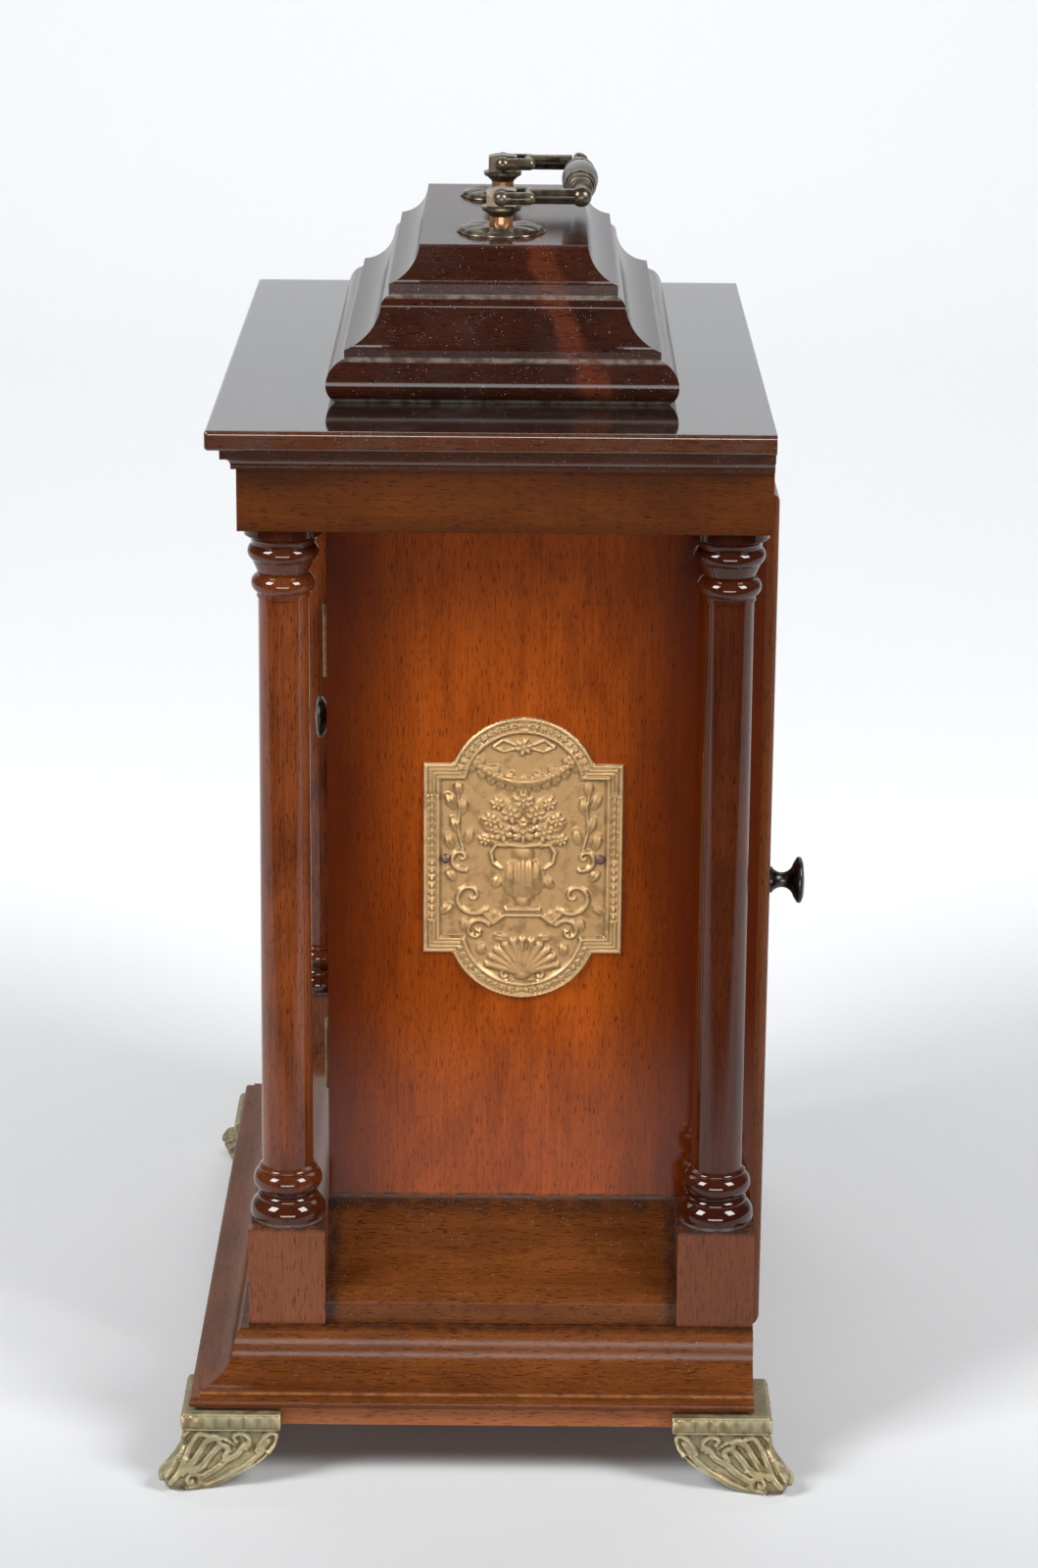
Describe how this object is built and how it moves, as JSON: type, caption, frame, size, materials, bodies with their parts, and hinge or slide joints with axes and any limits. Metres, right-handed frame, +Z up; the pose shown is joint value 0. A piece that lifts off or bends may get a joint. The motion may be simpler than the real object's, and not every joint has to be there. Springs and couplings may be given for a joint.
{
  "type": "bracket clock",
  "caption": "Mahogany bracket clock with corner columns, moulded base on splayed cast feet, stepped caddy top with carrying handle, side plaques, arched dial and key-wound pendulum movement.",
  "frame": {"origin": "centre of the clock's footprint box, at the floor under its feet", "axes": "+Z up, the dial faces -Y, +X is the clock's right side as seen from behind its dial's viewer: the viewer's right"},
  "size_m": [0.303, 0.2054, 0.4039],
  "materials": {
    "mahogany": "varnished straight-grained mahogany",
    "mahogany_dark": "dark polished mahogany",
    "mahogany_turned": "gloss-polished turned wood",
    "brass_cast": "cast brass with a green-grey patina",
    "brass_plaque": "old gold brass in low relief",
    "bronze": "dark bronze, rubbed",
    "brass_polished": "polished brass",
    "steel": "plain steel arbors",
    "blued_steel": "dark blued steel hands",
    "silvered": "silvered chapter ring",
    "glass": "clear flat door glass"
  },
  "bodies": {
    "case": {"back_plate": "brass_polished", "base_board": "mahogany", "base_moulding": "mahogany", "bell": "brass_polished", "bell_stand": "bronze", "bottom_board": "mahogany", "caddy_lower": "mahogany_dark", "caddy_middle": "mahogany_dark", "caddy_upper": "mahogany_dark", "case_hinge_leaves": "brass_polished", "chapter_ring": "silvered", "column_front_left": "mahogany_turned", "column_front_right": "mahogany_turned", "column_rear_left": "mahogany_turned", "column_rear_right": "mahogany_turned", "cornice_board": "mahogany_dark", "cornice_moulding": "mahogany_dark", "dial_plate": "brass_polished", "foot_front_left": "brass_cast", "foot_front_right": "brass_cast", "foot_rear_left": "brass_cast", "foot_rear_right": "brass_cast", "frieze": "mahogany_dark", "front_plate": "brass_polished", "handle_posts": "bronze", "handle_rosettes": "bronze", "pendulum_cock": "brass_polished", "plaque_left": "brass_plaque", "plaque_pins": "brass_plaque", "plaque_right": "brass_plaque", "plate_pillars": "brass_polished", "plinth_blocks": "mahogany", "seat_board": "mahogany", "shelf_moulding": "mahogany", "side_panel_left": "mahogany", "side_panel_right": "mahogany"},
    "front_door_body": {"front_door_frame": "mahogany", "front_glass": "glass", "front_hinge_leaves": "brass_polished", "front_knob": "bronze"},
    "rear_door_body": {"rear_door": "mahogany", "rear_hinge_leaves": "brass_polished", "rear_knob": "bronze"},
    "handle_body": {"handle_bail": "bronze"},
    "minute_hand_body": {"minute_hand": "blued_steel", "cannon_pinion": "brass_polished"},
    "minute_wheel_body": {"minute_wheel": "brass_polished"},
    "hour_hand_body": {"hour_hand": "blued_steel", "hour_wheel": "brass_polished"},
    "barrel_body": {"going_barrel": "brass_polished"},
    "winding_body": {"winding_arbor": "steel"},
    "click_body": {"ratchet_click": "steel"},
    "intermediate_body": {"intermediate_wheel": "brass_polished"},
    "centre_body": {"centre_wheel": "brass_polished"},
    "third_body": {"third_wheel": "brass_polished"},
    "escape_body": {"escape_wheel": "brass_polished"},
    "anchor_body": {"anchor": "steel"},
    "pendulum_body": {"pendulum": "brass_polished"},
    "hammer_body": {"hammer": "steel"}
  },
  "joints": [
    {"name": "front_door", "type": "hinge", "parent": "case", "child": "front_door_body", "pos_m": [0.0825, -0.05105, 0.1246], "axis": [0, 0, 1], "range_deg": [0, 110]},
    {"name": "rear_door", "type": "hinge", "parent": "case", "child": "rear_door_body", "pos_m": [-0.09469, 0.09155, 0.1246], "axis": [0, 0, 1], "range_deg": [0, 120]},
    {"name": "handle", "type": "hinge", "parent": "case", "child": "handle_body", "pos_m": [0, 0.00315, 0.398], "axis": [1, 0, 0], "range_deg": [0, 180]},
    {"name": "minute_hand_turn", "type": "hinge", "parent": "case", "child": "minute_hand_body", "pos_m": [0, -0.02455, 0.168], "axis": [0, 1, 0], "continuous": true},
    {"name": "minute_wheel_turn", "type": "hinge", "parent": "case", "child": "minute_wheel_body", "pos_m": [0.0192, -0.02455, 0.168], "axis": [0, 1, 0], "continuous": true},
    {"name": "hour_hand_turn", "type": "hinge", "parent": "case", "child": "hour_hand_body", "pos_m": [0, -0.02455, 0.168], "axis": [0, 1, 0], "continuous": true},
    {"name": "escape_arbor_turn", "type": "hinge", "parent": "case", "child": "escape_body", "pos_m": [0, -0.00805, 0.1945], "axis": [0, 1, 0], "continuous": true},
    {"name": "third_arbor_turn", "type": "hinge", "parent": "case", "child": "third_body", "pos_m": [0.0119, -0.00805, 0.18214], "axis": [0, 1, 0], "continuous": true},
    {"name": "centre_arbor_turn", "type": "hinge", "parent": "case", "child": "centre_body", "pos_m": [0, -0.00805, 0.168], "axis": [0, 1, 0], "continuous": true},
    {"name": "intermediate_arbor_turn", "type": "hinge", "parent": "case", "child": "intermediate_body", "pos_m": [-0.01317, -0.00805, 0.15348], "axis": [0, 1, 0], "continuous": true},
    {"name": "barrel_turn", "type": "hinge", "parent": "case", "child": "barrel_body", "pos_m": [0, -0.00805, 0.132], "axis": [0, 1, 0], "continuous": true},
    {"name": "winding_arbor_turn", "type": "hinge", "parent": "case", "child": "winding_body", "pos_m": [0, -0.00805, 0.132], "axis": [0, 1, 0], "continuous": true},
    {"name": "ratchet_click_turn", "type": "hinge", "parent": "case", "child": "click_body", "pos_m": [0.0156, -0.01055, 0.132], "axis": [0, 1, 0], "range_deg": [0, 12]},
    {"name": "pendulum_swing", "type": "hinge", "parent": "case", "child": "pendulum_body", "pos_m": [0, 0.03445, 0.21289], "axis": [0, 1, 0], "range_deg": [-3, 3]},
    {"name": "anchor_rock", "type": "hinge", "parent": "case", "child": "anchor_body", "pos_m": [0, 0.03445, 0.21289], "axis": [0, 1, 0], "range_deg": [-3, 3]},
    {"name": "hammer_lift", "type": "hinge", "parent": "case", "child": "hammer_body", "pos_m": [-0.026, -0.00805, 0.208], "axis": [0, 1, 0], "range_deg": [-12, 0]}
  ],
  "couplings": [
    {"joint": "minute_wheel_turn", "follows": "minute_hand_turn", "ratio": -0.33333},
    {"joint": "hour_hand_turn", "follows": "minute_hand_turn", "ratio": 0.083333},
    {"joint": "third_arbor_turn", "follows": "escape_arbor_turn", "ratio": -0.083333},
    {"joint": "centre_arbor_turn", "follows": "escape_arbor_turn", "ratio": 0.0083333},
    {"joint": "intermediate_arbor_turn", "follows": "escape_arbor_turn", "ratio": -0.0013889},
    {"joint": "barrel_turn", "follows": "escape_arbor_turn", "ratio": 0.00023148},
    {"joint": "anchor_rock", "follows": "pendulum_swing", "ratio": 1}
  ]
}
